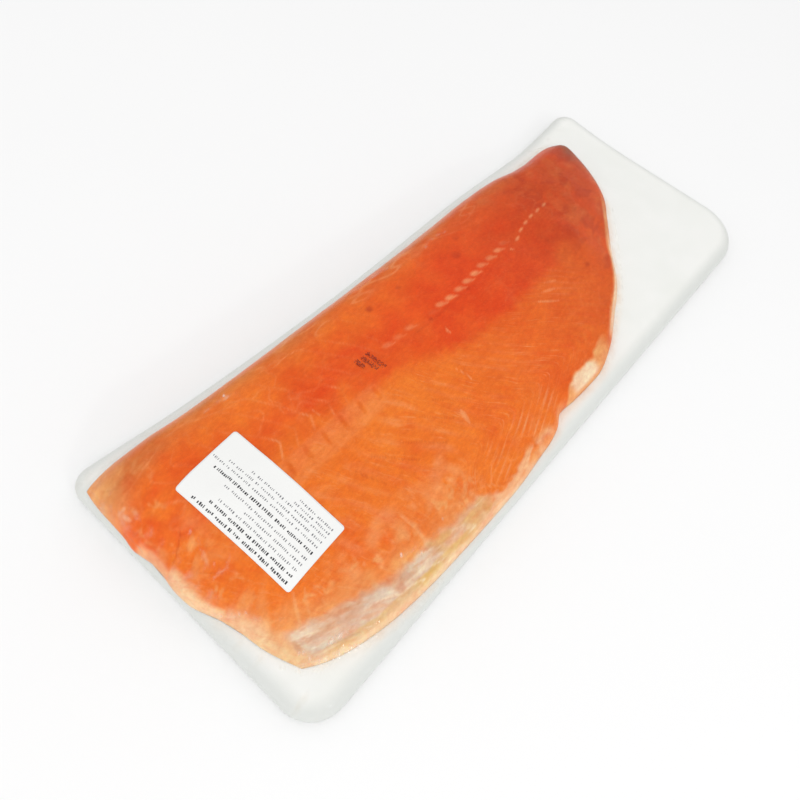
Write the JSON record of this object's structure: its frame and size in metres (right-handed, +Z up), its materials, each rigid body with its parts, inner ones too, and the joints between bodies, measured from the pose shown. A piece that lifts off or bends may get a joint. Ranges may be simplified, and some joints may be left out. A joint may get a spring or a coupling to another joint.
{
  "type": "film-wrapped salmon fillet",
  "caption": "Whole raw salmon fillet, skin side down on a flat white foam board, sealed tight under clear film with a paper label.",
  "frame": {"origin": "centre of the pack's footprint, on the surface that the board lies on", "axes": "+X from the fillet's tail to its head end, +Y from the back of the fish to its belly, +Z up"},
  "size_m": [0.5534, 0.2099, 0.0429],
  "materials": {
    "foam_board": "smooth white foam",
    "fillet": null,
    "film": "clear glossy stretch film",
    "label": "smooth label paper"
  },
  "bodies": {
    "root": {"foam_board": "foam_board", "fillet": "fillet", "film": "film", "label": "label"}
  },
  "joints": []
}
